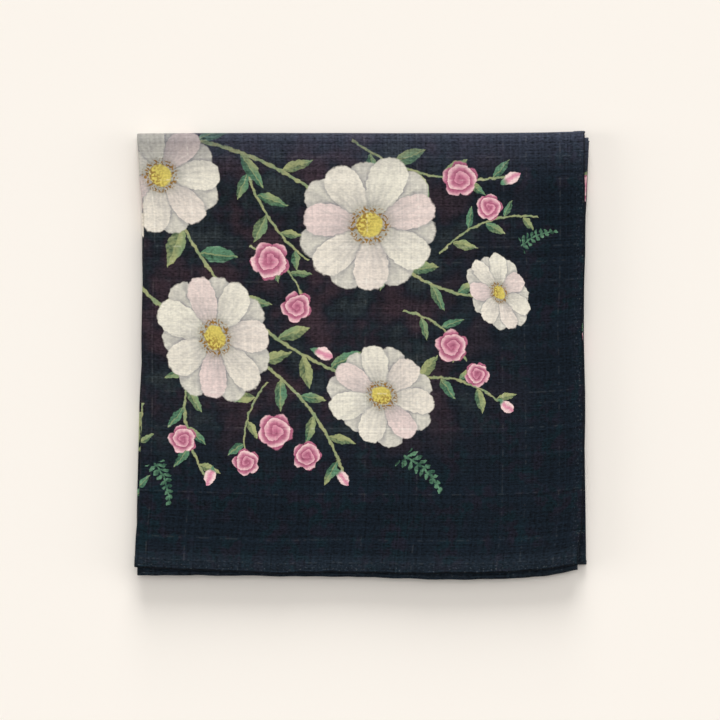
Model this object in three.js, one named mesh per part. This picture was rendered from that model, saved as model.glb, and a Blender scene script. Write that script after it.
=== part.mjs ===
// A square cotton handkerchief, folded for display into a flat square pack.
//
// The cloth is folded in half twice from side to side, which makes a strip four plies thick. The strip is
// folded in half twice again, so the pack has four layers, each of four pressed plies. From the top down
// they are: top (hemmed end), second (hemmed end), third and bottom. One wide fold at the far edge joins
// the top layer to the bottom one. It wraps a small fold that joins the second layer to the third. A small
// fold at the near edge joins the third to the bottom.
//
// Units are millimetres. X runs along the hemmed near edge, Y away from it, Z up. The pack lies on Z = 0,
// and the origin is under the middle of its box.

import * as THREE from "three";

const side = 125; // the nominal square: a quarter of a 500 mm cloth
const half = side / 2;
const layerThick = 1.15; // four plies
const layerGap = 0.4; // air between pressed layers
const pitch = layerThick + layerGap;
const foldReach = { wide: 1.9, small: 0.85 }; // how far a fold's middle line bulges out along Y
const hem = { width: 2.8, rise: 0.28, slope: 0.5 }; // the turned edge, raised on its upper side
const edgeRound = { inset: 0.4, share: 0.5 }; // how a layer thins at its two sides
const columnStep = 7;
const legStep = 9.5;
const turnSteps = { wide: 8, small: 6 };

// The height of each layer's middle line.
const level = {
  bottom: layerThick / 2,
  third: layerThick / 2 + pitch,
  second: layerThick / 2 + 2 * pitch,
  top: layerThick / 2 + 3 * pitch,
};

// How far a hemmed end hangs down where nothing lies under it, and where that starts.
const droop = { start: -55, top: 0.45, second: 0.75 };

// Where each layer's left side runs, by how far up the square (y) the row lies.
const leftSide = [
  { y: -62.5, top: -63.7, second: -62.9, third: -62.5, bottom: -62.5 },
  { y: -53, top: -63.4, second: -63.1, third: -62.8, bottom: -62.8 },
  { y: -45, top: -62.5, second: -63.1, third: -62.7, bottom: -62.6 },
  { y: -36, top: -62.2, second: -62.9, third: -62.4, bottom: -62.4 },
  { y: -24, top: -61.9, second: -62.6, third: -62.1, bottom: -62.1 },
  { y: -11, top: -61.7, second: -62.3, third: -61.9, bottom: -61.8 },
  { y: 4, top: -61.8, second: -61.5, third: -61.6, bottom: -61.5 },
  { y: 18, top: -61.5, second: -61.4, third: -61.4, bottom: -61.3 },
  { y: 28, top: -61.1, second: -61.6, third: -61.3, bottom: -61.2 },
  { y: 40, top: -61.1, second: -61.6, third: -61.5, bottom: -61.2 },
  { y: 47, top: -62.2, second: -61.9, third: -61.9, bottom: -61.8 },
  { y: 58, top: -62.7, second: -62.3, third: -62.3, bottom: -62.5 },
  { y: 62.5, top: -63.2, second: -62.6, third: -62.6, bottom: -63.2 },
];

// The same for the right side, where the open hems and a lower fold lie.
const rightSide = [
  { y: -62.5, top: 60.2, second: 60.3, third: 62.9, bottom: 62.9 },
  { y: -58.5, top: 60.5, second: 60.6, third: 62.9, bottom: 62.9 },
  { y: -53, top: 61.4, second: 61.0, third: 62.8, bottom: 62.7 },
  { y: -45, top: 61.9, second: 61.5, third: 62.5, bottom: 62.4 },
  { y: -32, top: 62.2, second: 61.8, third: 62.4, bottom: 62.3 },
  { y: -16, top: 62.1, second: 62.1, third: 62.8, bottom: 62.4 },
  { y: -4, top: 62.0, second: 62.0, third: 62.3, bottom: 62.2 },
  { y: 8, top: 61.6, second: 62.0, third: 62.2, bottom: 62.0 },
  { y: 18, top: 62.2, second: 62.0, third: 62.3, bottom: 62.2 },
  { y: 34, top: 62.4, second: 62.4, third: 62.6, bottom: 62.4 },
  { y: 47, top: 62.4, second: 63.0, third: 62.9, bottom: 62.4 },
  { y: 53, top: 62.4, second: 63.2, third: 63.3, bottom: 62.4 },
  { y: 57, top: 62.4, second: 63.7, third: 63.6, bottom: 62.4 },
  { y: 59, top: 62.4, second: 63.3, third: 63.4, bottom: 62.4 },
  { y: 62.5, top: 62.4, second: 63.8, third: 63.8, bottom: 62.4 },
];

// Where each layer ends at the near edge and at the far edge, by how far along it (x) the column lies.
const nearEdge = [
  { x: -62.5, top: -59.2, second: -61.6, third: -58.7, bottom: -58.7 },
  { x: -50, top: -59.9, second: -61.6, third: -58.9, bottom: -58.9 },
  { x: -34, top: -60.5, second: -61.7, third: -59.2, bottom: -59.2 },
  { x: -24, top: -61.1, second: -61.9, third: -59.4, bottom: -59.4 },
  { x: -8, top: -60.7, second: -61.8, third: -59.3, bottom: -59.3 },
  { x: 6, top: -60.9, second: -62.2, third: -59.2, bottom: -59.2 },
  { x: 20, top: -61.1, second: -62.8, third: -59.3, bottom: -59.3 },
  { x: 38, top: -60.9, second: -62.7, third: -59.1, bottom: -59.1 },
  { x: 48, top: -60.4, second: -62.3, third: -58.8, bottom: -58.8 },
  { x: 56, top: -59.6, second: -61.6, third: -58.6, bottom: -58.6 },
  { x: 62.5, top: -58.4, second: -60.0, third: -58.5, bottom: -58.5 },
];
const farEdge = [
  { x: -62.5, top: 62.3, second: 60.5, third: 60.5, bottom: 62.3 },
  { x: -30, top: 62.5, second: 60.6, third: 60.6, bottom: 62.5 },
  { x: 30, top: 62.4, second: 60.6, third: 60.6, bottom: 62.4 },
  { x: 50, top: 62.6, second: 60.8, third: 60.8, bottom: 62.6 },
  { x: 62.5, top: 62.9, second: 61.1, third: 61.1, bottom: 62.9 },
];

// The soft unevenness of the pack's top, as a share of the height. It is nothing at Z = 0.
const swells = [
  { share: 0.03, alongX: 0.048, alongY: 0.021, phase: 0.6 },
  { share: 0.022, alongX: -0.027, alongY: 0.062, phase: 2.1 },
  { share: 0.012, alongX: 0.105, alongY: 0.083, phase: 4.4 },
];

// Reads a column of a table at a place between two of its rows.
function read(table, key, at, column) {
  const next = table.findIndex((row) => row[key] >= at);
  if (next === 0) return table[0][column];
  if (next < 0) return table[table.length - 1][column];
  const low = table[next - 1];
  const high = table[next];
  const share = (at - low[key]) / (high[key] - low[key]);
  return low[column] + share * (high[column] - low[column]);
}

// One cross row of the strip: its middle line's place and normal, and the layers that it belongs to.
function row(y, z, ny, nz, from, to = from, share = 0) {
  return { y, z, ny, nz, from, to, share, end: Infinity };
}

function droopAt(layer, y) {
  const share = THREE.MathUtils.smoothstep(droop.start - y, 0, droop.start + half);
  return (droop[layer] ?? 0) * share;
}

// A layer's straight run along Y. Facing is 1 where the strip's face is up, and -1 where its back is.
function leg(layer, start, finish, facing) {
  const steps = Math.ceil(Math.abs(finish - start) / legStep);
  return Array.from({ length: steps + 1 }, (_, i) => {
    const y = THREE.MathUtils.lerp(start, finish, i / steps);
    return row(y, level[layer] - droopAt(layer, y), 0, facing, layer);
  });
}

// Half an oval that joins two layers at an end of the square. Its face is outside where outward is 1.
function turn(from, to, endY, reach, steps, outward) {
  const way = Math.sign(endY);
  const middleY = endY - way * (reach + layerThick / 2);
  const middleZ = (level[from] + level[to]) / 2;
  const rise = (level[from] - level[to]) / 2;
  return Array.from({ length: steps - 1 }, (_, i) => {
    const share = (i + 1) / steps;
    const angle = Math.PI * share;
    const sideways = way * Math.abs(rise) * Math.sin(angle);
    const upwards = reach * Math.sign(rise) * Math.cos(angle);
    const out = new THREE.Vector2(sideways, upwards).normalize().multiplyScalar(outward);
    const y = middleY + way * reach * Math.sin(angle);
    return row(y, middleZ + rise * Math.cos(angle), out.x, out.y, from, to, share);
  });
}

// The rows of a hemmed end, close together where the hem rises.
function hemRows(layer, facing) {
  const places = [0, hem.width - hem.slope, hem.width];
  return places.map((fromEnd) => {
    const y = -half + fromEnd;
    return { ...row(y, level[layer] - droopAt(layer, y), 0, facing, layer), end: fromEnd };
  });
}

const wideStart = half - foldReach.wide - layerThick / 2;
const smallStart = half - foldReach.small - layerThick / 2;
const legStart = -half + hem.width + legStep / 2;
const course = [
  ...hemRows("top", 1),
  ...leg("top", legStart, wideStart, 1),
  ...turn("top", "bottom", half, foldReach.wide, turnSteps.wide, 1),
  ...leg("bottom", wideStart, -smallStart, -1),
  ...turn("bottom", "third", -half, foldReach.small, turnSteps.small, 1),
  ...leg("third", -smallStart, smallStart, 1),
  ...turn("third", "second", half, foldReach.small, turnSteps.small, -1),
  ...leg("second", smallStart, legStart, -1),
  ...hemRows("second", -1).reverse(),
];

// The shares of the width at which the strip is cut into columns.
function columnShares() {
  const inset = edgeRound.inset / side;
  const inner = Math.round(side / columnStep);
  const cut = (_, i) => THREE.MathUtils.lerp(inset, 1 - inset, i / inner);
  return [0, ...Array.from({ length: inner + 1 }, cut), 1];
}

// How much the upper side of a hemmed end stands up.
function hemRise(end) {
  return hem.rise * (1 - THREE.MathUtils.smoothstep(end, hem.width - hem.slope, hem.width));
}

// The place of a point on the strip: its row, its share of the width, and its side (1 face, -1 back).
function place(at, across, cloth) {
  const thin = across === 0 || across === 1 ? edgeRound.share : 1;
  const upper = cloth * at.nz > 0;
  const reach = cloth * (layerThick / 2 + (upper ? hemRise(at.end) : 0)) * thin;
  const y = at.y + at.ny * reach;
  const z = at.z + at.nz * reach;
  const x = (across - 0.5) * side;
  const blend = (table, key, where) => {
    return THREE.MathUtils.lerp(read(table, key, where, at.from), read(table, key, where, at.to), at.share);
  };
  const along = (y + half) / side;
  const placed = new THREE.Vector3(
    THREE.MathUtils.lerp(blend(leftSide, "y", y), blend(rightSide, "y", y), across),
    THREE.MathUtils.lerp(blend(nearEdge, "x", x), blend(farEdge, "x", x), along),
    z,
  );
  const swell = swells.reduce(
    (sum, s) => sum + s.share * Math.sin(s.alongX * placed.x + s.alongY * placed.y + s.phase),
    0,
  );
  placed.z *= 1 + swell;
  return placed;
}

// The closed surface of the folded strip: its face, its back, its two hemmed ends and its two sides.
function stripGeometry() {
  const columns = columnShares();
  const rows = course.length;
  const points = [];
  for (const cloth of [1, -1]) {
    for (const at of course) {
      for (const across of columns) points.push(place(at, across, cloth));
    }
  }
  const index = (cloth, j, i) => (cloth * rows + j) * columns.length + i;
  const faces = [];
  const quad = (a, b, c, d) => faces.push(a, b, c, a, c, d);
  const endRow = rows - 1;
  const right = columns.length - 1;
  for (let j = 0; j < endRow; j++) {
    for (let i = 0; i < right; i++) {
      quad(index(0, j, i), index(0, j, i + 1), index(0, j + 1, i + 1), index(0, j + 1, i));
      quad(index(1, j, i), index(1, j + 1, i), index(1, j + 1, i + 1), index(1, j, i + 1));
    }
    quad(index(0, j, 0), index(0, j + 1, 0), index(1, j + 1, 0), index(1, j, 0));
    quad(index(0, j, right), index(1, j, right), index(1, j + 1, right), index(0, j + 1, right));
  }
  for (let i = 0; i < right; i++) {
    quad(index(0, 0, i), index(1, 0, i), index(1, 0, i + 1), index(0, 0, i + 1));
    quad(index(0, endRow, i), index(0, endRow, i + 1), index(1, endRow, i + 1), index(1, endRow, i));
  }
  const geometry = new THREE.BufferGeometry().setFromPoints(points);
  geometry.setIndex(faces);
  geometry.computeVertexNormals();
  return geometry;
}

// The folded cloth, moved so that the middle of its box is over the origin.
function handkerchief() {
  const geometry = stripGeometry();
  geometry.computeBoundingBox();
  const middle = geometry.boundingBox.getCenter(new THREE.Vector3());
  geometry.translate(-middle.x, -middle.y, -geometry.boundingBox.min.z);
  const cloth = new THREE.MeshStandardMaterial({ color: 0x1a2129, roughness: 0.9, metalness: 0 });
  const mesh = new THREE.Mesh(geometry, cloth);
  mesh.name = "handkerchief";
  return mesh;
}

const pack = new THREE.Group();
pack.add(handkerchief());
export default pack;
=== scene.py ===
import math
import random

import bmesh
import bpy
from mathutils import Matrix, Vector, noise


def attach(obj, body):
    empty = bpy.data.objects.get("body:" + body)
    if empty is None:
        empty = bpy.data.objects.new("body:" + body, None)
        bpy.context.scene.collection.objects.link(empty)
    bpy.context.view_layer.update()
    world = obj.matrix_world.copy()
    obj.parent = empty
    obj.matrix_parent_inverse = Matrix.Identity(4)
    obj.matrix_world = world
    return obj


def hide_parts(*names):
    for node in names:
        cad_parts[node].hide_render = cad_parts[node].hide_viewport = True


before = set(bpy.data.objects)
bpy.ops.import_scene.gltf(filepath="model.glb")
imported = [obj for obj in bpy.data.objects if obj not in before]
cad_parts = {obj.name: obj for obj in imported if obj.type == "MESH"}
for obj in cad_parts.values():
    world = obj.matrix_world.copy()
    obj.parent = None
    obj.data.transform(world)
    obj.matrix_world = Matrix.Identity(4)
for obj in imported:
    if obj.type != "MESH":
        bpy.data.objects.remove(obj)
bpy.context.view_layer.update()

mm = 0.001

# All sizes below are in millimetres. The cloth is folded in half twice across (its plies) and twice along
# (its layers). Flat places on it are u across and v along, both from 0 to four times the folded side.

cloth = {
    "side": 125.0,            # the folded square
    "layerThick": 1.15,       # four pressed plies
    "layerGap": 0.4,          # air between the layers
    "plyPitch": 0.2875,       # from ply to ply in a layer
    "plyThick": 0.16,
    "hemThick": 0.36,         # the turned edge
    "hemWidth": 2.8,
    "hemSlope": 0.55,         # how far the cloth takes to come down from the hem
    "rimRound": 0.14,         # how the hem's edge rounds off
    "wideReach": 1.9,         # how far the two kinds of fold bulge along the square
    "smallReach": 0.85,
    "fineStep": 1.25,         # the grid on the ply that shows
    "middleStep": 2.5,        # on the ply whose edge shows below it
    "coarseStep": 8.0,        # on the plies inside
    "turnSteps": 8,           # an even number, so that a line runs along the middle of each fold
}
innerShare = 0.7              # how wide the print is on the plies that run back towards the fold
half = cloth["side"] / 2
flatSide = cloth["side"] * 4


def asRows(columns, lines):
    return [dict(zip(columns, line)) for line in lines]


layers = ("top", "second", "third", "bottom")
leftSide = asRows(("at", *layers), (     # where each layer's left side runs, by y
    (-62.5, -63.7, -62.9, -62.5, -62.5),
    (-53, -63.4, -63.1, -62.8, -62.8),
    (-45, -62.5, -63.1, -62.7, -62.6),
    (-36, -62.2, -62.9, -62.4, -62.4),
    (-24, -61.9, -62.6, -62.1, -62.1),
    (-11, -61.7, -62.3, -61.9, -61.8),
    (4, -61.8, -61.5, -61.6, -61.5),
    (18, -61.5, -61.4, -61.4, -61.3),
    (28, -61.1, -61.6, -61.3, -61.2),
    (40, -61.1, -61.6, -61.5, -61.2),
    (47, -62.2, -61.9, -61.9, -61.8),
    (58, -62.7, -62.3, -62.3, -62.5),
    (62.5, -63.2, -62.6, -62.6, -63.2),
))
rightSide = asRows(("at", *layers), (    # the same for the right side
    (-62.5, 60.2, 60.3, 62.9, 62.9),
    (-58.5, 60.5, 60.6, 62.9, 62.9),
    (-53, 61.4, 61.0, 62.8, 62.7),
    (-45, 61.9, 61.5, 62.5, 62.4),
    (-32, 62.2, 61.8, 62.4, 62.3),
    (-16, 62.1, 62.1, 62.8, 62.4),
    (-4, 62.0, 62.0, 62.3, 62.2),
    (8, 61.6, 62.0, 62.2, 62.0),
    (18, 62.2, 62.0, 62.3, 62.2),
    (34, 62.4, 62.4, 62.6, 62.4),
    (47, 62.4, 63.0, 62.9, 62.4),
    (53, 62.4, 63.2, 63.3, 62.4),
    (57, 62.4, 63.7, 63.6, 62.4),
    (59, 62.4, 63.3, 63.4, 62.4),
    (62.5, 62.4, 63.8, 63.8, 62.4),
))
nearEdge = asRows(("at", *layers), (     # where each layer ends towards the hems, by x
    (-62.5, -59.2, -61.6, -58.7, -58.7),
    (-50, -59.9, -61.6, -58.9, -58.9),
    (-34, -60.5, -61.7, -59.2, -59.2),
    (-24, -61.1, -61.9, -59.4, -59.4),
    (-8, -60.7, -61.8, -59.3, -59.3),
    (6, -60.9, -62.2, -59.2, -59.2),
    (20, -61.1, -62.8, -59.3, -59.3),
    (38, -60.9, -62.7, -59.1, -59.1),
    (48, -60.4, -62.3, -58.8, -58.8),
    (56, -59.6, -61.6, -58.6, -58.6),
    (62.5, -58.4, -60.0, -58.5, -58.5),
))
farEdge = asRows(("at", *layers), (      # and where each ends towards the wide fold
    (-62.5, 62.3, 60.5, 60.5, 62.3),
    (-30, 62.5, 60.6, 60.6, 62.5),
    (30, 62.4, 60.6, 60.6, 62.4),
    (50, 62.6, 60.8, 60.8, 62.6),
    (62.5, 62.9, 61.1, 61.1, 62.9),
))
swells = asRows(("share", "alongX", "alongY", "phase"), (   # soft unevenness of the height
    (0.03, 0.048, 0.021, 0.6),
    (0.022, -0.027, 0.062, 2.1),
    (0.012, 0.105, 0.083, 4.4),
))
plies = asRows(("level", "way", "hemShift"), (   # across the cloth from u = 0: height in a layer, which
    (0.5, -1, -0.07),                            # way its x runs, and its move where the side hems lie
    (-0.5, 1, -0.12),
    (-1.5, -1, -0.12),
    (1.5, 1, 0.06),
))
sideInset = asRows(("left", "right"), (          # how far each ply's fold or hem stays inside the layer
    (0.62, 0.35),
    (0.62, 0.15),
    (0.0, 0.15),
    (0.0, 0.0),
))


def clamp(value):
    return min(1.0, max(0.0, value))


def ease(value):
    value = clamp(value)
    return value * value * (3 - 2 * value)


def lerp(low, high, share):
    return low + (high - low) * share


def readTable(rows, at, column):
    low = rows[0]
    for high in rows:
        if high["at"] >= at:
            span = high["at"] - low["at"]
            return lerp(low[column], high[column], (at - low["at"]) / span) if span else high[column]
        low = high
    return low[column]


def softTable(rows, column, reach=72, step=0.5, blur=3.0):
    # the table as a smooth line, read every half millimetre
    count = int(2 * reach / step) + 1
    offsets = [blur * k / 3 for k in range(-3, 4)]
    values = []
    for k in range(count):
        at = -reach + k * step
        values.append(sum(readTable(rows, at + d, column) for d in offsets) / len(offsets))

    def read(at):
        place = clamp((at + reach) / (2 * reach)) * (count - 1)
        low = min(int(place), count - 2)
        return lerp(values[low], values[low + 1], place - low)

    return read


tables = {"left": leftSide, "right": rightSide, "near": nearEdge, "far": farEdge}
edges = {name: {layer: softTable(rows, layer) for layer in layers} for name, rows in tables.items()}
pitch = cloth["layerThick"] + cloth["layerGap"]
levels = {layer: cloth["layerThick"] / 2 + pitch * k for k, layer in enumerate(reversed(layers))}


def acrossTurn(k):
    # the fold between ply k and the next one: its middle, its half height and its side
    low, high = plies[k]["level"], plies[k + 1]["level"]
    radius = abs(high - low) / 2 * cloth["plyPitch"]
    side = plies[k]["way"]
    inset = sideInset[k]["left" if side < 0 else "right"]
    middleX = side * (half - inset - radius - cloth["plyThick"] / 2)
    return {"x": middleX, "n": (low + high) / 2 * cloth["plyPitch"], "radius": radius, "side": side,
            "rise": (high - low) / 2 * cloth["plyPitch"], "length": math.pi * radius}


acrossTurns = [acrossTurn(k) for k in range(3)]


def acrossPlace(u):
    # x and height in the layer of a place across the flat cloth, and how many plies along it is
    ply = min(3, int(u / cloth["side"]))
    for k, turn in enumerate(acrossTurns):
        middle = (k + 1) * cloth["side"]
        if abs(u - middle) <= turn["length"] / 2:
            angle = math.pi * ((u - middle) / turn["length"] + 0.5)
            x = turn["x"] + turn["side"] * turn["radius"] * math.sin(angle)
            shift = plies[1]["hemShift"] if k == 1 else 0.0
            return x, turn["n"] - turn["rise"] * math.cos(angle) + shift, k + angle / math.pi
    start = ply * cloth["side"]
    finish = start + cloth["side"]
    way = plies[ply]["way"]
    fromX = half - sideInset[0]["right"]
    toX = half
    if ply > 0:
        start += acrossTurns[ply - 1]["length"] / 2
        fromX = acrossTurns[ply - 1]["x"]
    if ply < 3:
        finish -= acrossTurns[ply]["length"] / 2
        toX = acrossTurns[ply]["x"]
    x = lerp(fromX, toX, (u - start) / (finish - start))
    shift = plies[ply]["hemShift"] * ease((cloth["hemWidth"] + cloth["hemSlope"] - (half - x)) / 1.0)
    return x, plies[ply]["level"] * cloth["plyPitch"] + shift, ply


def leg(layer, start, finish, facing):
    return {"kind": "leg", "from": layer, "to": layer, "start": start, "finish": finish,
            "facing": facing, "length": abs(finish - start)}


def bend(fromLayer, toLayer, endY, reach, outward):
    way = math.copysign(1, endY)
    rise = (levels[fromLayer] - levels[toLayer]) / 2
    length = math.pi * math.sqrt((reach ** 2 + rise ** 2) / 2)
    return {"kind": "bend", "from": fromLayer, "to": toLayer, "way": way, "rise": rise, "reach": reach,
            "y": endY - way * (reach + cloth["layerThick"] / 2), "outward": outward, "length": length,
            "z": (levels[fromLayer] + levels[toLayer]) / 2}


wideStart = half - cloth["wideReach"] - cloth["layerThick"] / 2
smallStart = half - cloth["smallReach"] - cloth["layerThick"] / 2
course = [
    leg("top", -half, wideStart, 1),
    bend("top", "bottom", half, cloth["wideReach"], 1),
    leg("bottom", wideStart, -smallStart, -1),
    bend("bottom", "third", -half, cloth["smallReach"], 1),
    leg("third", -smallStart, smallStart, 1),
    bend("third", "second", half, cloth["smallReach"], -1),
    leg("second", smallStart, -half, -1),
]
# where each part of the course starts and ends along the flat cloth
for k, part in enumerate(course):
    if part["kind"] == "bend":
        middle = (k // 2 + 1) * cloth["side"]
        part["fromV"] = middle - part["length"] / 2
        part["toV"] = middle + part["length"] / 2
for k, part in enumerate(course):
    if part["kind"] == "leg":
        part["fromV"] = course[k - 1]["toV"] if k else 0.0
        part["toV"] = course[k + 1]["fromV"] if k + 1 < len(course) else flatSide


def alongPlace(v):
    # the layer's middle line at a place along the flat cloth, with the line's own upright
    part = next(p for p in course if v <= p["toV"] + 1e-6)
    share = clamp((v - part["fromV"]) / (part["toV"] - part["fromV"]))
    if part["kind"] == "leg":
        y = lerp(part["start"], part["finish"], share)
        return {"y": y, "z": levels[part["from"]], "ny": 0.0, "nz": float(part["facing"]),
                "from": part["from"], "to": part["to"], "share": share}
    angle = math.pi * share
    ny = part["way"] * abs(part["rise"]) * math.sin(angle)
    nz = part["reach"] * math.copysign(1, part["rise"]) * math.cos(angle)
    size = math.hypot(ny, nz) * part["outward"]
    return {"y": part["y"] + part["way"] * part["reach"] * math.sin(angle),
            "z": part["z"] + part["rise"] * math.cos(angle), "ny": ny / size, "nz": nz / size,
            "from": part["from"], "to": part["to"], "share": share}


droop = {"start": -57.8, "top": 0.15, "second": 0.95}    # how hemmed ends hang where nothing is below
curl = {"start": -61.2, "second": 0.35}                  # and how the lower one's rim turns up again
nearInset = asRows(("at", "inset"), (    # how far the end hems lie back from their layer's edge, by u
    (0, 0.8), (60, 0.35), (125, 0.6), (190, 0.9), (250, 0.35), (290, 0.0), (500, 0.0),
))
endHems = {
    "insetReach": 14.0,      # the way over which they come to lie back
    "room": 0.52,            # how much more room they need than plain plies
    "roomEnd": 4.6,          # how far in from the near edge that begins, and over what way
    "roomSlope": 1.2,
}
waves = {
    "hemPucker": 0.07,       # height of the gathers along a hem
    "hemPuckerLength": 2.6,
    "hemWander": 0.26,       # how far a hem wanders in the plane
    "hemWanderLength": 4.6,
    "foldWander": 0.07,      # and how far a fold does
    "foldWanderLength": 11.0,
    "hemZone": 10.0,         # a side this near to a cut edge wanders as a hem does
    "wanderReach": 7.0,      # how far in from a side it is felt
    "sideSeed": 9.0,         # sets opposite sides apart
    "farSlope": 0.1,         # how the pack thins towards its wide fold
    "farSlopeLength": 16.0,
    "floorLift": 0.15,       # the hem underneath lies on the floor
    "waver": 0.2,            # how unevenly the layers lie on each other near their edges
    "waverLength": 15.0,
    "looseFrom": 44.0,       # how far out from the middle they begin to do so, and over what way
    "looseReach": 16.0,
    "crumple": 0.2,          # the loose unevenness of the plies on top
    "crumpleLength": 17.0,
    "layerSeed": {"top": 3.1, "second": 11.7, "third": 23.3, "bottom": 37.9},
}


def ripple(x, y, seed, length):
    return noise.noise(Vector((x / length, y / length, seed)))


def lift(layer, x, y, onHem, onSideHem):
    # how far a place is off its layer's level: hanging ends, puckered hems and loose edges
    seed = waves["layerSeed"][layer]
    rise = curl.get(layer, 0.0) * ease((curl["start"] - y) / (curl["start"] + half))
    rise -= droop.get(layer, 0.0) * ease((droop["start"] - y) / (droop["start"] - curl["start"]))
    rise += waves["hemPucker"] * onHem * ripple(x, y * 0.5, seed, waves["hemPuckerLength"])
    if layer == "top":
        rise += waves["hemPucker"] * onSideHem * ripple(x * 0.5, y, seed + 5, waves["hemPuckerLength"])
    if layer == "bottom":
        return rise + waves["floorLift"] * onSideHem
    loose = ease((max(abs(x), abs(y)) - waves["looseFrom"]) / waves["looseReach"])
    return rise + waves["waver"] * loose * ripple(x, y, seed + 9, waves["waverLength"])


def hemShare(fromEdge):
    # 1 on a hem, 0 on the plain cloth next to it
    return ease((cloth["hemWidth"] + cloth["hemSlope"] - fromEdge) / cloth["hemSlope"])


def foldedPlace(u, v):
    # where a place on the flat cloth lies in the folded pack
    x, n, ply = acrossPlace(u)
    at = alongPlace(v)
    fromEnd = min(v, flatSide - v)
    y, z = at["y"], at["z"]
    if fromEnd < half:
        inset = readTable(nearInset, u, "inset")
        y += inset * ease((-half + endHems["insetReach"] - y) / endHems["insetReach"])
        n *= 1 + endHems["room"] * ease((endHems["roomEnd"] - (y + half)) / endHems["roomSlope"])
    y += at["ny"] * n
    z += at["nz"] * n
    onHem = hemShare(fromEnd)
    onSideHem = hemShare(half - x)
    fromLift = lift(at["from"], x, y, onHem, onSideHem)
    z += lerp(fromLift, lift(at["to"], x, y, onHem, onSideHem), at["share"])
    seed = lerp(waves["layerSeed"][at["from"]], waves["layerSeed"][at["to"]], at["share"])

    def across(name, where):
        return lerp(edges[name][at["from"]](where), edges[name][at["to"]](where), at["share"])

    def wander(fromCut, first, second, out):
        kind = "hem" if fromCut < waves["hemZone"] else "fold"
        spot = ripple(first, second, seed + ply * 0.35, waves[kind + "WanderLength"])
        reach = waves["wanderReach"]
        return waves[kind + "Wander"] * spot * ease((abs(out) - half + reach) / reach)

    along = (y + half) / cloth["side"]
    share = (x + half) / cloth["side"]
    wanderX = wander(min(u, flatSide - u), math.copysign(waves["sideSeed"], x), y, x)
    wanderY = wander(fromEnd, x, math.copysign(waves["sideSeed"], y), y)
    placed = Vector((
        lerp(across("left", y), across("right", y), share) + wanderX,
        lerp(across("near", x), across("far", x), along) + wanderY,
        z,
    ))
    phases = [s["alongX"] * placed.x + s["alongY"] * placed.y + s["phase"] for s in swells]
    placed.z *= 1 + sum(s["share"] * math.sin(phase) for s, phase in zip(swells, phases))
    thinning = ease((placed.y - half + waves["farSlopeLength"]) / waves["farSlopeLength"])
    placed.z *= 1 - waves["farSlope"] * thinning
    height = clamp(placed.z / levels["top"])
    placed.z += height ** 2 * waves["crumple"] * ripple(placed.x, placed.y, 2.5, waves["crumpleLength"])
    return placed


def spread(start, finish, step):
    # even places after the start, up to the finish
    count = max(1, round(abs(finish - start) / step))
    return [lerp(start, finish, k / count) for k in range(1, count + 1)]


seam = {"at": 2.3, "wide": 0.35, "pinch": 0.2}    # the stitches draw the hem together
# how far in from an edge the closest lines of the grid run
hemLines = [0.0, 0.05, cloth["rimRound"], 0.9, seam["at"] - seam["wide"], seam["at"],
            cloth["hemWidth"] - 0.1, cloth["hemWidth"] + cloth["hemSlope"], 4.1, 5.0, 6.5, 8.5]


def cutLines(turns, steps):
    # the places at which the flat cloth is cut into a grid, from one hem to the other
    lines = list(hemLines)
    at = lines[-1]
    for turn, step in zip(turns, steps):
        lines += spread(at, turn["from"], step)
        lines += spread(turn["from"], turn["to"], (turn["to"] - turn["from"]) / cloth["turnSteps"])
        at = turn["to"]
    lines += spread(at, flatSide - hemLines[-1], steps[-1])
    lines += [flatSide - h for h in reversed(hemLines[:-1])]
    return lines


fine, middleStep, coarse = cloth["fineStep"], cloth["middleStep"], cloth["coarseStep"]
uTurns = [{"from": (k + 1) * cloth["side"] - turn["length"] / 2,
           "to": (k + 1) * cloth["side"] + turn["length"] / 2} for k, turn in enumerate(acrossTurns)]
vTurns = [{"from": p["fromV"], "to": p["toV"]} for p in course if p["kind"] == "bend"]
uLines = cutLines(uTurns, (coarse, coarse, middleStep, fine))
vLines = cutLines(vTurns, (fine, coarse, coarse, coarse))
print("cloth grid", len(uLines), "by", len(vLines))


def hemWeight(fromEdge):
    # the share of the hem's thickness that the cloth has, this far in from its edge
    plain = cloth["plyThick"] / cloth["hemThick"]
    if fromEdge < cloth["rimRound"]:
        return max(0.2, math.sqrt(1 - (1 - fromEdge / cloth["rimRound"]) ** 2))
    full = lerp(plain, 1.0, hemShare(fromEdge))
    return full * (1 - seam["pinch"] * ease(1 - abs(fromEdge - seam["at"]) / seam["wide"]))


def printPlace(u, v):
    # the place on the square of print that every ply repeats, as a share of its side
    fromFold = abs(u - flatSide / 2) - cloth["side"]
    x = max(fromFold, -innerShare * fromFold)
    y = cloth["side"] - abs(cloth["side"] - (flatSide / 2 - abs(v - flatSide / 2)))
    return x / cloth["side"], y / cloth["side"]


def asObject(bm, name):
    mesh = bpy.data.meshes.new(name)
    bm.to_mesh(mesh)
    bm.free()
    made = bpy.data.objects.new(name, mesh)
    bpy.context.scene.collection.objects.link(made)
    return made


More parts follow.
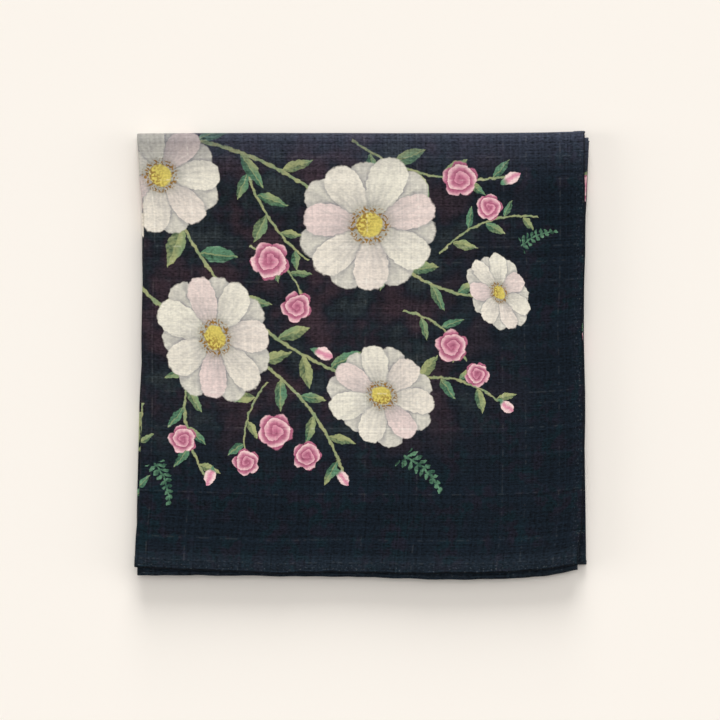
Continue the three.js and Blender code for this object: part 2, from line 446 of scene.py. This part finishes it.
def makeCloth():
    bm = bmesh.new()
    countU, countV = len(uLines) - 1, len(vLines) - 1
    bmesh.ops.create_grid(bm, x_segments=countU, y_segments=countV, size=1.0)
    weights = bm.verts.layers.deform.verify()
    flatMap = bm.loops.layers.uv.new("flatCloth")
    bakeMap = bm.loops.layers.uv.new("OFBake")
    spots = {}
    for vert in bm.verts:
        i = round((vert.co.x + 1) / 2 * countU)
        j = round((vert.co.y + 1) / 2 * countV)
        u, v = uLines[i], vLines[j]
        spots[vert.index] = (u / flatSide, v / flatSide), printPlace(u, v)
        vert[weights][0] = hemWeight(min(u, v, flatSide - u, flatSide - v))
        vert.co = foldedPlace(u, v) * mm
    for face in bm.faces:
        for loop in face.loops:
            loop[flatMap].uv, loop[bakeMap].uv = spots[loop.vert.index]
        face.smooth = True
    piece = asObject(bm, "handkerchief_cloth")
    piece.vertex_groups.new(name="thickness")
    shell = piece.modifiers.new("thickness", "SOLIDIFY")
    shell.thickness = cloth["hemThick"] * mm
    shell.offset = 0.0
    shell.vertex_group = "thickness"
    shell.thickness_vertex_group = 0.0
    shell.use_even_offset = False
    return piece


piece = makeCloth()
print("cloth folded")


class Field:
    # a value that changes over the cloth: one socket, with the sums that the print uses
    def __init__(self, tree, socket=None):
        self.tree = tree
        self.socket = socket

    def node(self, kind, settings, sockets, output=0):
        made = self.tree.nodes.new(kind)
        for name, value in settings.items():
            setattr(made, name, value)
        for key, value in sockets.items():
            if isinstance(value, Field):
                self.tree.links.new(value.socket, made.inputs[key])
            else:
                made.inputs[key].default_value = value
        return Field(self.tree, made.outputs[output] if made.outputs else None)

    def math(self, operation, *others):
        sockets = dict(enumerate((self, *others)))
        return self.node("ShaderNodeMath", {"operation": operation}, sockets)

    def vector(self, operation, *others, output=0):
        sockets = dict(enumerate((self, *others)))
        return self.node("ShaderNodeVectorMath", {"operation": operation}, sockets, output)

    def __add__(self, other):
        return self.math("ADD", other)

    def __radd__(self, other):
        return self.math("ADD", other)

    def __sub__(self, other):
        return self.math("SUBTRACT", other)

    def __rsub__(self, other):
        return self.math("MULTIPLY_ADD", -1.0, other)

    def __mul__(self, other):
        return self.math("MULTIPLY", other)

    def __rmul__(self, other):
        return self.math("MULTIPLY", other)

    def __truediv__(self, other):
        return self.math("DIVIDE", other)

    def __pow__(self, other):
        return self.math("POWER", other)

    def __lt__(self, other):
        return self.math("LESS_THAN", other)

    def __abs__(self):
        return self.math("ABSOLUTE")

    def length(self):
        return self.vector("LENGTH", output=1)

    def parts(self):
        split = self.node("ShaderNodeSeparateXYZ", {}, {0: self})
        source = split.socket.node
        return Field(self.tree, source.outputs[0]), Field(self.tree, source.outputs[1])

    def step(self, low, high, start=0.0, finish=1.0):
        # start below low, finish above high, and a smooth way between
        settings = {"interpolation_type": "SMOOTHSTEP"}
        sockets = {0: self, 1: low, 2: high, 3: start, 4: finish}
        return self.node("ShaderNodeMapRange", settings, sockets)

    def noise(self, scale, detail=1.0, dimensions="2D", output=0):
        settings = {"noise_dimensions": dimensions}
        sockets = {"Vector": self, "Scale": scale, "Detail": detail}
        return self.node("ShaderNodeTexNoise", settings, sockets, output)

    def dice(self):
        # a different number from 0 to 1 for each whole number
        return self.node("ShaderNodeTexWhiteNoise", {"noise_dimensions": "1D"}, {"W": self})

    def blend(self, low, high):
        # from one colour to another by this share
        return self.node("ShaderNodeMix", {"data_type": "RGBA"}, {0: self, 6: low, 7: high}, 2)

    def choose(self, low, high):
        # one vector or the other
        return self.node("ShaderNodeMix", {"data_type": "VECTOR"}, {0: self, 4: low, 5: high}, 1)

    def place(self, x, y, turn, wide, tall):
        # this point, whose third part is 1, as a motif at x, y sees it, where 1 is the motif's reach
        way = Vector((math.cos(turn), math.sin(turn))) / wide
        upright = Vector((-math.sin(turn), math.cos(turn))) / tall
        middle = Vector((x, y))
        sides = (way, upright)
        return tuple(self.vector("DOT_PRODUCT", (*d, -middle.dot(d)), output=1) for d in sides)

    def joined(self, other):
        return self.node("ShaderNodeCombineXYZ", {}, {0: self, 1: other})


def asMaterial(name, draw):
    material = bpy.data.materials.new(name)
    material.use_nodes = True
    tree = material.node_tree
    tree.nodes.clear()
    start = Field(tree)
    start.node("ShaderNodeOutputMaterial", {}, {0: draw(start)})
    print(name, len(tree.nodes), "nodes")
    return material


def dye(red, green, blue):
    # a colour as paint cards give it, from 0 to 255, as linear light
    parts = [value / 255 for value in (red, green, blue)]
    return tuple(v / 12.92 if v < 0.04045 else ((v + 0.055) / 1.055) ** 2.4 for v in parts) + (1.0,)


# The print is a generic spray of flowers. Its places are millimetres on the square that shows: x from
# the fold at its left, y from the hem at its near edge. Every fold mirrors it.

inks = {
    "ground": dye(17, 26, 35),
    "groundWarm": dye(25, 26, 36),
    "groundCool": dye(15, 30, 37),
    "ghostWarm": dye(56, 42, 48),      # the print of the next ply, faintly through the cloth
    "ghostCool": dye(46, 52, 54),
    "foldSheen": dye(60, 64, 78),       # painted sheen along the cloth's folds, where the light grazes it
    # painted light and glints on the hems, and a lighter band by the near hem
    "hemLight": dye(40, 49, 58),
    "hemShadow": dye(6, 9, 13),          # painted shadow at the outer edge of the hem on top
    # the pale of thick yarns, also used for painted glints near the hems
    "slub": dye(238, 234, 222),
    "ivory": dye(231, 225, 208),
    "blush": dye(228, 205, 200),
    "petalShade": dye(150, 147, 146),
    "petalDeep": dye(122, 124, 106),
    "disc": dye(214, 196, 100),
    "discDark": dye(144, 108, 52),
    "rose": dye(216, 144, 164),
    "roseDeep": dye(168, 92, 118),
    "rosePale": dye(242, 210, 206),
    "leaf": dye(96, 136, 106),
    "leafOlive": dye(166, 170, 118),
    "leafDark": dye(48, 80, 64),
    "stem": dye(160, 162, 116),
}
whiteFlowers = asRows(("x", "y", "turn", "wide", "tall"), (
    (64, 98, 0.3, 21.5, 20.0),
    (21, 66, 1.9, 20.0, 16.5),
    (68, 50, 2.6, 16.5, 14.5),
    (6, 112, 0.9, 18.0, 18.0),
    (101, 79, 0.55, 8.5, 12.5),
))
roses = asRows(("x", "y", "turn", "size"), (
    (36, 88, 0.2, 5.8),
    (44, 75, 1.4, 4.6),
    (90, 111, 2.2, 5.3),
    (98, 103, 0.7, 4.0),
    (88, 64, 1.0, 4.9),
    (95, 56, 2.9, 3.7),
    (38, 40, 0.4, 5.4),
    (47, 33, 1.9, 4.3),
    (30, 31, 2.5, 3.9),
    (12, 37, 1.2, 4.2),
))
buds = asRows(("x", "y", "turn", "wide", "tall"), (
    (104, 111, 0.5, 3.4, 1.7),
    (57, 27, -0.9, 3.2, 1.6),
    (103, 47, -0.7, 3.0, 1.5),
    (20, 27, -1.9, 3.2, 1.6),
    (51, 62, -0.4, 3.6, 1.8),
))
stems = asRows(("fromX", "fromY", "toX", "toY", "bulge", "thick", "leaves", "leafLength"), (
    (-6, 124, 58, 100, 7, 0.94, 5, 14.6),
    (-8, 90, 24, 66, -4, 0.94, 3, 13.4),
    (22, 66, 58, 26, 6, 0.75, 7, 11.2),
    (8, 104, 68, 52, -9, 0.81, 9, 12.9),
    (64, 96, 104, 78, -6, 0.75, 5, 10.6),
    (60, 122, 105, 112, -5, 0.62, 6, 10.1),
    (68, 52, 104, 46, 6, 0.56, 6, 8.96),
    (16, 62, 19, 26, -5, 0.62, 6, 10.1),
    (30, 92, 47, 72, 4, 0.56, 3, 7.84),
    (74, 74, 92, 60, 3, 0.56, 3, 8.4),
    (36, 54, 30, 31, -3, 0.5, 3, 7.84),
    (-0.6, 17, 0.4, 47, 0.6, 1, 4, 6.16),
    (30, 118, 47, 88, -4, 0.62, 5, 9.52),
    (84, 90, 112, 100, 4, 0.5, 5, 7.28),
))
ferns = asRows(("x", "y", "turn", "wide", "tall"), (
    (74, 33, -0.75, 15.0, 15.0),
    (4, 30, -1.2, 13.0, 13.0),
    (107, 92, 0.35, 11.0, 11.0),
))
leafShape = {
    "slim": 0.36,            # how wide by its length
    "lean": 0.85,            # its angle off the stem
    "gap": 0.32,             # from the stem
    "taper": 0.66,           # the last leaf of a stem by the first
    "seed": 7,
}


def leavesAlong(stem, rng):
    # the leaves of one stem, on its two sides in turn and smaller towards its tip
    start = Vector((stem["fromX"], stem["fromY"]))
    run = Vector((stem["toX"], stem["toY"])) - start
    upright = Vector((-run.y, run.x)).normalized()
    bulge = upright * stem["bulge"] * 4
    found = []
    for k in range(stem["leaves"]):
        share = (k + 0.8) / (stem["leaves"] + 0.6)
        side = 1 if k % 2 else -1
        middle = start + run * share + bulge * share * (1 - share)
        slope = run + bulge * (1 - 2 * share)
        turn = math.atan2(slope.y, slope.x) + side * leafShape["lean"] * rng.uniform(0.75, 1.15)
        size = stem["leafLength"] / 2 * lerp(1.0, leafShape["taper"], share) * rng.uniform(0.85, 1.12)
        way = Vector((math.cos(turn), math.sin(turn)))
        spot = middle + way * (size + leafShape["gap"])
        found.append({"x": spot.x, "y": spot.y, "turn": turn, "wide": size,
                      "tall": size * leafShape["slim"] * rng.uniform(0.85, 1.2)})
    return found


def nearestOf(point, spots):
    # the point as the nearest of some like motifs sees it
    chosen = nearest = None
    for spot in spots:
        size = spot.get("size")
        wide, tall = spot.get("wide", size), spot.get("tall", size)
        x, y = point.place(spot["x"], spot["y"], spot["turn"], wide, tall)
        local = x.joined(y)
        reach = local.length()
        if chosen is None:
            chosen, nearest = local, reach
            continue
        closer = reach < nearest
        nearest = reach.math("MINIMUM", nearest)
        chosen = closer.choose(chosen, local)
    return chosen


def stemMask(point, stem):
    # a bent line: a shallow arch over the straight way from one end to the other
    run = Vector((stem["toX"] - stem["fromX"], stem["toY"] - stem["fromY"]))
    x, y = point.place(stem["fromX"], stem["fromY"], math.atan2(run.y, run.x), run.length, 1)
    arch = x * (1 - x)
    off = abs(y - arch * (4 * stem["bulge"]))
    thick = stem["thick"] / 2
    return off.step(thick - 0.12, thick + 0.16, 1.0, 0.0) * arch.step(0.0, 0.002)


def stemsOn(paint, point, grain):
    mask = None
    for stem in stems:
        one = stemMask(point, stem)
        mask = one if mask is None else one.math("MAXIMUM", mask)
    colour = (grain * 0.45).blend(inks["stem"], inks["leaf"])
    return mask.blend(paint, colour)


def leavesOn(paint, point, grain, hue):
    rng = random.Random(leafShape["seed"])
    spots = [leaf for stem in stems for leaf in leavesAlong(stem, rng)]
    x, y = nearestOf(point, spots).parts()
    side = abs(y)
    inside = (1 - x * x) * (1 - x * 0.3) - side
    colour = hue.blend(inks["leaf"], inks["leafOlive"])
    veins = (x * 21 - side * 9).math("SINE")
    shade = y.step(-0.25, 0.3, 0.55, 0.0) + veins * 0.1 + grain * 0.3 - 0.1
    colour = shade.blend(colour, inks["leafDark"])
    colour = side.step(0.03, 0.14, 0.55, 0.0).blend(colour, inks["leafOlive"])
    return (inside.step(0.0, 0.1) * (abs(x) < 1.0)).blend(paint, colour)


def fernsOn(paint, point, grain):
    x, y = nearestOf(point, ferns).parts()
    y = y - x * (1 - x) * 0.4
    side = abs(y)
    leaflets = 8.0
    cell = (x * leaflets - side * 3.2).math("FRACT")
    reach = (1 - x) * 0.2 + 0.05
    along = side / reach * 2 - 1
    leaflet = 1 - along * along - abs(cell - 0.5) * 2.6
    inX = x.step(0.0, 0.03) * x.step(0.97, 1.0, 1.0, 0.0)
    mask = leaflet.step(0.0, 0.25) * inX
    line = side.step(0.01, 0.03, 1.0, 0.0) * inX
    mask = mask.math("MAXIMUM", line)
    colour = grain.blend(inks["leafDark"], inks["leaf"])
    return mask.blend(paint, colour)


def rosesOn(paint, point, grain):
    local = nearestOf(point, roses)
    x, y = local.parts()
    reach = local.length()
    angle = y.math("ARCTAN2", x)
    lobes = abs((angle * 2.5).math("SINE"))
    inside = 0.8 + lobes * 0.2 - reach
    swirl = reach * 2.7 + angle * (1 / (2 * math.pi)) + (angle * 3).math("SINE") * 0.09
    band = swirl.math("FRACT")
    colour = band.step(0.0, 0.85).blend(inks["roseDeep"], inks["rose"])
    pale = band.step(0.3, 0.95) * reach.step(0.2, 0.75) * (0.6 + grain * 0.35)
    colour = pale.blend(colour, inks["rosePale"])
    colour = reach.step(0.0, 0.35, 0.8, 0.0).blend(colour, inks["roseDeep"])
    return inside.step(0.0, 0.07).blend(paint, colour)


def budsOn(paint, point):
    x, y = nearestOf(point, buds).parts()
    side = abs(y)
    inside = (1 - x * x) * (1 + x * 0.35) - side
    colour = side.step(0.1, 0.6).blend(inks["rose"], inks["rosePale"])
    colour = x.step(-0.6, -0.2, 1.0, 0.0).blend(colour, inks["leaf"])
    return (inside.step(0.0, 0.16) * (abs(x) < 1.0)).blend(paint, colour)


def petals(angle, count, shift, seed):
    # which petal of a ring the angle is on: its own number from 0 to 1, and the place across it
    turn = angle * (count / (2 * math.pi)) + shift
    whole = turn.math("ROUND")
    across = turn - whole
    own = (whole.math("FLOORED_MODULO", count) + seed).dice()
    return own, across


flowerShape = {
    "petals": 7,             # in each of two rings
    "backShift": 0.5,        # the ring behind lies between the petals of the one in front
    "backSeed": 17,
    "frontSeed": 3,
    "backDip": 0.36,         # how much shorter a petal is at its sides
    "frontDip": 0.5,
    "backReach": 0.98,
    "backSpare": 0.1,        # how much the petals differ in length
    "frontSpare": 0.12,
    "disc": 0.16,
}


def whiteFlowersOn(paint, point, grain):
    shape = flowerShape
    local = nearestOf(point, whiteFlowers)
    x, y = local.parts()
    reach = local.length()
    angle = y.math("ARCTAN2", x)

    own, across = petals(angle, shape["petals"], shape["backShift"], shape["backSeed"])
    edge = abs(across) * 2
    back = (1 - edge ** 2.4 * shape["backDip"]) * (shape["backReach"] - own * shape["backSpare"]) - reach
    streak = (across * 30 + own * 9).math("SINE")
    shade = 0.24 + streak * 0.07 + reach.step(0.35, 0.95, 0.4, 0.0) + grain * 0.16
    frontOwn, frontAcross = petals(angle, shape["petals"], 0.0, shape["frontSeed"])
    frontEdge = abs(frontAcross) * 2
    front = (1 - frontEdge ** 2.8 * shape["frontDip"]) * (1.0 - frontOwn * shape["frontSpare"]) - reach
    shade = shade + front.step(-0.16, 0.0, 0.0, 0.3)
    colour = shade.blend(inks["ivory"], inks["petalShade"])
    paint = back.step(0.0, 0.03).blend(paint, colour)

    streak = (frontAcross * 34 + frontOwn * 9).math("SINE")
    shade = streak * 0.07 + reach.step(0.15, 0.8, 0.42, 0.0) + frontAcross * 0.22 + grain * 0.16 - 0.04
    shade = shade + frontEdge.step(0.82, 1.0) * reach.step(0.35, 0.6, 0.35, 0.0)
    light = frontOwn.step(0.45, 0.9, 0.0, 0.85).blend(inks["ivory"], inks["blush"])
    colour = shade.blend(light, inks["petalShade"])
    colour = reach.step(0.16, 0.4, 0.55, 0.0).blend(colour, inks["petalDeep"])
    paint = front.step(0.0, 0.03).blend(paint, colour)

    dots = local.noise(26.0, 0.0)
    ring = reach.step(0.14, 0.2) * reach.step(0.24, 0.3, 1.0, 0.0) * dots.step(0.52, 0.6)
    paint = ring.blend(paint, inks["discDark"])
    shade = dots.step(0.35, 0.62) * (0.45 - x * 2.2 + y * 2.2).step(0.1, 0.9, 0.15, 0.9)
    colour = shade.blend(inks["disc"], inks["discDark"])
    return reach.step(shape["disc"], shape["disc"] + 0.03, 1.0, 0.0).blend(paint, colour)


weave = {
    "pitch": 0.43,          # from yarn to yarn
    "slubLength": 4.5,      # how long a thicker stretch of yarn is
    "warp": 0.3,            # how much the yarns differ, those along the cloth
    "weft": 0.42,           # and those across it
    "slub": 0.5,            # how much one yarn changes along itself
    "speckle": 1.8,         # the fine unevenness of the dye
    "onPrint": 0.24,        # the share of all these that is left where the print is light
    "slubSpacing": 0.731,   # how differently neighbouring yarns thicken
    "warpSeed": 11.3,
    "weftSeed": 47.9,
    "bump": 0.06,
}
tremble = 1.1               # how unevenly the print's outlines run
# painted sheen, glints, light and shadow along the folds and hems, and a lighter band by the near hem
edgeLight = {
    "foldFrom": -2.5,       # painted sheen by the wide fold, from here on the far side of it
    "foldTo": 20.0,
    "foldPower": 1.6,
    "fold": 0.74,
    "nearHem": 0.22,
    "sideGlintShare": 0.24,
    "lowerHemLight": 0.4,        # painted light on the near hems below the one on top
    "topEdgeShadow": 0.75,        # painted shadow at the edge of the hem on top
}


def yarns(across, along, seed):
    # the yarns that lie side by side across: a different lightness for each and along each
    number = across * (1 / weave["pitch"])
    whole = number.math("FLOOR")
    own = (whole + seed).dice()
    spot = (whole * weave["slubSpacing"] + seed).joined(along * (1 / weave["slubLength"]))
    slub = spot.noise(1.3, 2.0)
    return own, slub, number


def ghostsOn(paint, straight, quarterX, quarterY):
    # the ply below shows faintly through, most where the flowers stand closest
    near = quarterX.step(70.0, 118.0, 1.0, 0.0) * quarterY.step(22.0, 52.0)
    blotch = straight.noise(0.09, 4.0)
    paint = (blotch.step(0.38, 0.72, 0.0, 0.85) * near).blend(paint, inks["ghostWarm"])
    return (blotch.step(0.26, 0.52, 0.85, 0.0) * near).blend(paint, inks["ghostCool"])


def clothShader(start):
    flat = start.node("ShaderNodeUVMap", {"uv_map": "flatCloth"}, {})
    flatMm = flat.vector("SCALE")
    flatMm.socket.node.inputs["Scale"].default_value = flatSide
    u, v = flatMm.parts()
    quarterX = abs(u - flatSide / 2) - cloth["side"]
    quarterX = quarterX.math("MAXIMUM", quarterX * -innerShare)
    quarterY = cloth["side"] - abs(cloth["side"] - (flatSide / 2 - abs(v - flatSide / 2)))
    straight = start.node("ShaderNodeCombineXYZ", {}, {0: quarterX, 1: quarterY, 2: 1.0})
    point = straight.noise(0.55, 2.0, output=1).vector("MULTIPLY_ADD", (tremble, tremble, 0.0), straight)
    point = point.vector("SUBTRACT", (tremble / 2, tremble / 2, 0.0))
    grain = straight.noise(0.4, 2.0).step(0.3, 0.7)
    hue = straight.noise(0.075, 1.0).step(0.38, 0.62)

    paint = straight.noise(0.3, 3.0).step(0.4, 0.6).blend(inks["groundCool"], inks["groundWarm"])
    paint = straight.noise(0.13, 2.0).step(0.35, 0.6).blend(paint, inks["ground"])
    paint = ghostsOn(paint, straight, quarterX, quarterY)
    paint = stemsOn(paint, point, grain)
    paint = leavesOn(paint, point, grain, hue)
    paint = fernsOn(paint, point, grain)
    paint = budsOn(paint, point)
    paint = rosesOn(paint, point, grain)
    paint = whiteFlowersOn(paint, point, grain)

    # painted sheen towards the folds
    foldSheen = (cloth["side"] - quarterY).step(edgeLight["foldFrom"], edgeLight["foldTo"], 1.0, 0.0)
    paint = (foldSheen ** edgeLight["foldPower"] * edgeLight["fold"]).blend(paint, inks["foldSheen"])
    hemSide = quarterY.math("MINIMUM", cloth["side"] - quarterX)
    speck = straight.noise(1.7, 1.0)
    # painted glints in specks along the side hems, and a lighter band by the near hem
    sideGlints = hemSide.step(2.0, 3.6, edgeLight["sideGlintShare"], 0.0) * speck.step(0.5, 0.66)
    paint = (quarterY.step(2.5, 7.5, edgeLight["nearHem"], 0.0) + sideGlints).blend(paint, inks["hemLight"])
    # painted glints: pale specks near the hems
    paint = (speck.step(0.7, 0.74) * hemSide.step(0.6, 2.6, 0.05, 0.0)).blend(paint, inks["slub"])
    onTop = (v < cloth["side"]) * (flatSide - u < cloth["side"])
    # painted light on the near hems of the plies below the top one
    paint = (quarterY.step(0.3, 2.2, edgeLight["lowerHemLight"], 0.0) * (1 - onTop)).blend(paint, inks["hemLight"])
    # painted shadow along the outer edges of the hems on the top ply
    paint = (hemSide.step(0.1, 0.6, edgeLight["topEdgeShadow"], 0.0) * onTop).blend(paint, inks["hemShadow"])

    light = paint.vector("DOT_PRODUCT", (0.3, 0.6, 0.1), output=1)
    amount = light.step(0.02, 0.3, 1.0, weave["onPrint"])
    warpOwn, warpSlub, warpNumber = yarns(quarterX, quarterY, weave["warpSeed"])
    weftOwn, weftSlub, weftNumber = yarns(quarterY, quarterX, weave["weftSeed"])
    lines = (warpOwn - 0.5) * weave["warp"] + (weftOwn - 0.5) * weave["weft"]
    lines = lines + (warpSlub + weftSlub - 1.0) * weave["slub"]
    speckle = straight.vector("MULTIPLY", (1.1, 2.3, 0.0)).noise(1.0, 2.0) - 0.5
    lines = lines + speckle * weave["speckle"]
    paint = paint.vector("MULTIPLY", lines * amount + 1)
    broken = straight.noise(0.7, 2.0).step(0.42, 0.6)
    longYarn = warpOwn.step(0.983, 0.986) * warpSlub.step(0.42, 0.55)
    longYarn = (longYarn + weftOwn.step(0.976, 0.98) * weftSlub.step(0.42, 0.55)) * broken
    paint = (longYarn * (light * 0.5 + 0.009)).blend(paint, inks["slub"])

    warpWave = (warpNumber * (2 * math.pi)).math("COSINE")
    weftWave = (weftNumber * (2 * math.pi)).math("COSINE")
    over = (warpNumber * math.pi).math("SINE")
    under = (weftNumber * math.pi).math("SINE")
    turn = over * under
    height = turn * (weftWave - warpWave) * 0.25 - (warpWave + weftWave) * 0.15
    height = height + (warpSlub + weftSlub) * 0.6 + (warpOwn + weftOwn) * 0.3
    sockets = {"Strength": 0.5, "Distance": weave["bump"] * mm, "Height": height}
    bump = start.node("ShaderNodeBump", {}, sockets)
    return start.node("ShaderNodeBsdfPrincipled", {}, {
        "Base Color": paint, "Roughness": 0.9, "Specular IOR Level": 0.08, "Normal": bump,
        "Sheen Weight": 0.04, "Sheen Roughness": 0.5,
    })


piece.data.materials.append(asMaterial("printed cotton", clothShader))

stitch = {
    "pitch": 1.9,
    "long": 1.25,
    "wide": 0.2,
    "tall": 0.4,             # right through the hem, and just proud of it on both sides
    "colour": dye(44, 52, 64),
    "look": 0.3,             # how far on it looks for the way the cloth runs
    "unevenScale": 900.0,
    "bump": 0.03,
}


def oneStitch():
    bm = bmesh.new()
    bmesh.ops.create_uvsphere(bm, u_segments=6, v_segments=4, radius=0.5)
    mesh = bpy.data.meshes.new("stitch")
    bm.to_mesh(mesh)
    bm.free()
    return mesh


def stitchPlace(u, v, stepU, stepV):
    # one stitch lies along the way from this place on the flat cloth to a place a little further on
    here = foldedPlace(u, v)
    along = (foldedPlace(u + stepU, v + stepV) - here).normalized()
    across = (foldedPlace(u + stepV, v - stepU) - here).normalized()
    upright = along.cross(across).normalized()
    across = upright.cross(along)
    sides = (along * stitch["long"], across * stitch["wide"], upright * stitch["tall"])
    place = Matrix(sides).transposed().to_4x4()
    place.translation = here
    return Matrix.Scale(mm, 4) @ place


def makeStitches():
    bm = bmesh.new()
    pattern = oneStitch()
    count = int((flatSide - 2 * seam["at"]) / stitch["pitch"])
    look = stitch["look"]
    for k in range(count):
        at = seam["at"] + (k + 0.5) * stitch["pitch"]
        for other in (seam["at"], flatSide - seam["at"]):
            for place in (stitchPlace(at, other, look, 0.0), stitchPlace(other, at, 0.0, look)):
                shape = pattern.copy()
                shape.transform(place)
                bm.from_mesh(shape)
                bpy.data.meshes.remove(shape)
    bmesh.ops.recalc_face_normals(bm, faces=bm.faces)
    for face in bm.faces:
        face.smooth = True
    return asObject(bm, "hem_stitches")


def threadShader(start):
    spot = start.node("ShaderNodeTexCoord", {}, {}, 3)
    uneven = spot.noise(stitch["unevenScale"], 1.0, "3D")
    colour = uneven.step(0.3, 0.7).blend(inks["ground"], stitch["colour"])
    sockets = {"Strength": 0.4, "Distance": stitch["bump"] * mm, "Height": uneven}
    bump = start.node("ShaderNodeBump", {}, sockets)
    return start.node("ShaderNodeBsdfPrincipled", {}, {
        "Base Color": colour, "Roughness": 0.7, "Specular IOR Level": 0.2, "Normal": bump,
    })


stitches = makeStitches()
stitches.data.materials.append(asMaterial("sewing thread", threadShader))
print("hems sewn")

for made in (piece, stitches):
    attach(made, "root")
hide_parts("handkerchief")

room = {
    "pixel": 0.28,                    # millimetres in the photograph's frame, which is 720 wide and high
    "frame": 720,
    "packMiddle": (362.0, 355.5),     # the pixel at the middle of the pack
    "cameraUp": 2000.0,               # above the pack
    "sensor": 36.0,
    "floorSize": 3000.0,
    "floorColour": dye(252, 245, 236),
    "brightness": 1.0,                # of the floor well away from the pack
    "air": 0.22,                      # the share of it that comes from all around
    "lampSize": 30.0,                 # how wide each lamp looks from the pack, in degrees
}
lamps = asRows(("name", "turn", "tilt", "share"), (    # angles in degrees, shares of the brightness
    ("overhead lamp", 90.0, 82.0, 0.24),
    ("far window", 90.0, 20.0, 0.32),
    ("far right window", 45.0, 40.0, 0.08),
    ("left wall", 180.0, 20.0, 0.085),
    ("right wall", 0.0, 20.0, 0.055),
))


def makeRoom():
    scene = bpy.context.scene
    scene.view_settings.view_transform = "Standard"
    bm = bmesh.new()
    bmesh.ops.create_grid(bm, x_segments=1, y_segments=1, size=room["floorSize"] / 2 * mm)
    floor = asObject(bm, "floor")
    material = bpy.data.materials.new("pale floor")
    material.use_nodes = True
    shader = material.node_tree.nodes["Principled BSDF"]
    shader.inputs["Base Color"].default_value = room["floorColour"]
    shader.inputs["Roughness"].default_value = 0.9
    shader.inputs["Specular IOR Level"].default_value = 0.1
    floor.data.materials.append(material)

    world = bpy.data.worlds.new("soft air")
    world.use_nodes = True
    air = world.node_tree.nodes["Background"]
    air.inputs["Color"].default_value = (1.0, 1.0, 1.0, 1.0)
    air.inputs["Strength"].default_value = room["air"] * room["brightness"]
    scene.world = world

    for entry in lamps:
        lamp = bpy.data.lights.new(entry["name"], "SUN")
        turn, tilt = math.radians(entry["turn"]), math.radians(entry["tilt"])
        lamp.angle = math.radians(room["lampSize"])
        lamp.energy = math.pi * entry["share"] * room["brightness"] / math.sin(tilt)
        source = bpy.data.objects.new(entry["name"], lamp)
        level = math.cos(tilt)
        away = Vector((math.cos(turn) * level, math.sin(turn) * level, math.sin(tilt)))
        source.rotation_euler = away.to_track_quat("Z", "Y").to_euler()
        scene.collection.objects.link(source)

    camera = bpy.data.cameras.new("camera")
    camera.sensor_width = room["sensor"]
    camera.lens = room["sensor"] * room["cameraUp"] / (room["pixel"] * room["frame"])
    camera.clip_end = 20.0
    eye = bpy.data.objects.new("camera", camera)
    middle = room["frame"] / 2
    aside = (middle - room["packMiddle"][0]) * room["pixel"]
    below = (room["packMiddle"][1] - middle) * room["pixel"]
    eye.location = Vector((aside, below, room["cameraUp"] + levels["top"])) * mm
    scene.collection.objects.link(eye)
    scene.camera = eye
    print("floor, light and camera placed")


makeRoom()
